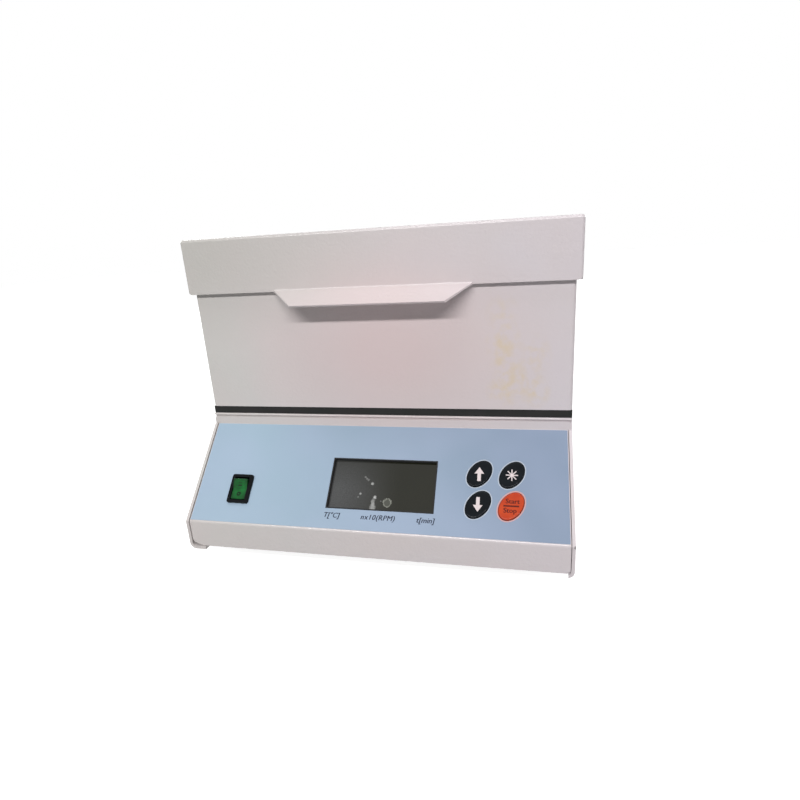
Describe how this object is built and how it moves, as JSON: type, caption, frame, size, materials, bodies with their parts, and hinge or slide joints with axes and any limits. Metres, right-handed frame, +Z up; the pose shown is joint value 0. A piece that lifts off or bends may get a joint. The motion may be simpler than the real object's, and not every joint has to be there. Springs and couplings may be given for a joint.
{
  "type": "shaking incubator",
  "caption": "Bench-top shaking incubator with a hinged insulated lid, a heated chamber with an orbiting platform, and a sloping console with switch, display and oval keys.",
  "frame": {"origin": "centre of the footprint, on the surface that the feet stand on", "axes": "+Z up, console towards -Y, hinges towards +Y, +X to the right seen from the front"},
  "size_m": [0.2688, 0.35, 0.2205],
  "materials": {
    "white_paint": "fine textured powder coat",
    "blue_film": "matt printed polyester film",
    "black_plastic": "moulded, slightly grained",
    "window_plastic": "smoked clear sheet, glossy",
    "black_rubber": "moulded",
    "grey_rubber": "soft foam skin",
    "display_steel": "tinned frame",
    "board_laminate": "solder mask",
    "grey_cable": "ribbon insulation",
    "plated_steel": "zinc plate",
    "bright_steel": "ground",
    "green_plastic": "translucent moulding",
    "key_charcoal": "smooth cap under clear dome",
    "key_orange": "smooth cap under clear dome",
    "brass_pins": "drawn",
    "transformer_iron": "varnished laminations",
    "aluminium_plate": "mill finish",
    "motor_paint": "satin",
    "stainless": "brushed",
    "insulation_foam": "rigid foam"
  },
  "bodies": {
    "base": {"chamber_housing": "white_paint", "console_panel": "white_paint", "base_pan": "white_paint", "rear_panel": "white_paint", "top_deck": "white_paint", "control_film": "blue_film", "isolator_plate": "black_plastic", "display_window": "window_plastic", "window_gasket": "black_rubber", "display_module": "display_steel", "control_board": "board_laminate", "power_board": "board_laminate", "key_switches": "black_plastic", "ribbon_cable": "grey_cable", "spacers": "plated_steel", "case_screws": "plated_steel", "foot_screws": "plated_steel", "hinge_body_leaves": "plated_steel", "hinge_pins": "bright_steel", "feet": "black_rubber", "rocker_housing": "black_plastic", "mains_inlet": "black_plastic", "inlet_pins": "brass_pins", "transformer": "transformer_iron", "drive_plate": "aluminium_plate", "drive_motor": "motor_paint", "shaft_bearings": "bright_steel", "shaft_seal": "black_rubber", "idler_posts": "aluminium_plate", "idler_bearings": "bright_steel", "chamber_insulation": "insulation_foam", "chamber_liner": "stainless", "fan_baffle": "stainless", "fan_frame": "black_plastic", "heater_element": "stainless", "temperature_sensor": "stainless"},
    "lid": {"lid_shell": "white_paint", "lid_liner": "stainless", "lid_insulation": "insulation_foam", "lid_gasket": "grey_rubber", "hinge_lid_leaves": "plated_steel", "lid_hinge_screws": "plated_steel"},
    "key_up": {"key_up": "key_charcoal"},
    "key_down": {"key_down": "key_charcoal"},
    "key_function": {"key_function": "key_charcoal"},
    "key_start": {"key_start": "key_orange"},
    "rocker": {"rocker": "green_plastic"},
    "eccentric": {"eccentric_shaft": "bright_steel", "counterweight": "plated_steel"},
    "platform": {"shaking_platform": "aluminium_plate", "platform_bearing": "bright_steel", "platform_bushes": "brass_pins", "platform_mat": "black_rubber", "rack_rails": "stainless"},
    "idler_crank_1": {"idler_crank_1": "bright_steel"},
    "idler_crank_2": {"idler_crank_2": "bright_steel"},
    "idler_crank_3": {"idler_crank_3": "bright_steel"},
    "idler_crank_4": {"idler_crank_4": "bright_steel"},
    "fan_rotor": {"fan_rotor": "black_plastic"},
    "fuse_drawer": {"fuse_drawer": "black_plastic"}
  },
  "joints": [
    {"name": "lid_hinge", "type": "hinge", "parent": "base", "child": "lid", "pos_m": [0, 0.1717, 0.179], "axis": [-1, 0, 0], "range_deg": [0, 95]},
    {"name": "key_up_press", "type": "slide", "parent": "base", "child": "key_up", "axis": [0, 0.6953, -0.7187], "range_m": [0, 0.0008], "stiffness_N_per_m": 400},
    {"name": "key_down_press", "type": "slide", "parent": "base", "child": "key_down", "axis": [0, 0.6953, -0.7187], "range_m": [0, 0.0008], "stiffness_N_per_m": 400},
    {"name": "key_function_press", "type": "slide", "parent": "base", "child": "key_function", "axis": [0, 0.6953, -0.7187], "range_m": [0, 0.0008], "stiffness_N_per_m": 400},
    {"name": "key_start_press", "type": "slide", "parent": "base", "child": "key_start", "axis": [0, 0.6953, -0.7187], "range_m": [0, 0.0008], "stiffness_N_per_m": 400},
    {"name": "rocker_tilt", "type": "hinge", "parent": "base", "child": "rocker", "pos_m": [-0.0955, -0.15543, 0.04876], "axis": [-1, 0, 0], "range_deg": [0, 20]},
    {"name": "eccentric_spin", "type": "hinge", "parent": "base", "child": "eccentric", "pos_m": [0, 0, 0.08], "axis": [0, 0, 1], "continuous": true},
    {"name": "platform_orbit", "type": "hinge", "parent": "eccentric", "child": "platform", "pos_m": [0.0015, 0, 0.12], "axis": [0, 0, 1], "continuous": true},
    {"name": "idler_1_spin", "type": "hinge", "parent": "base", "child": "idler_crank_1", "pos_m": [-0.078, -0.06, 0.115], "axis": [0, 0, 1], "continuous": true},
    {"name": "idler_2_spin", "type": "hinge", "parent": "base", "child": "idler_crank_2", "pos_m": [0.078, -0.06, 0.115], "axis": [0, 0, 1], "continuous": true},
    {"name": "idler_3_spin", "type": "hinge", "parent": "base", "child": "idler_crank_3", "pos_m": [-0.078, 0.06, 0.115], "axis": [0, 0, 1], "continuous": true},
    {"name": "idler_4_spin", "type": "hinge", "parent": "base", "child": "idler_crank_4", "pos_m": [0.078, 0.06, 0.115], "axis": [0, 0, 1], "continuous": true},
    {"name": "fan_spin", "type": "hinge", "parent": "base", "child": "fan_rotor", "pos_m": [0, 0.105, 0.1556], "axis": [0, 1, 0], "continuous": true},
    {"name": "fuse_drawer_slide", "type": "slide", "parent": "base", "child": "fuse_drawer", "axis": [0, 1, 0], "range_m": [0, 0.018]}
  ],
  "couplings": [
    {"joint": "platform_orbit", "follows": "eccentric_spin", "ratio": -1},
    {"joint": "idler_1_spin", "follows": "eccentric_spin", "ratio": 1},
    {"joint": "idler_2_spin", "follows": "eccentric_spin", "ratio": 1},
    {"joint": "idler_3_spin", "follows": "eccentric_spin", "ratio": 1},
    {"joint": "idler_4_spin", "follows": "eccentric_spin", "ratio": 1}
  ]
}
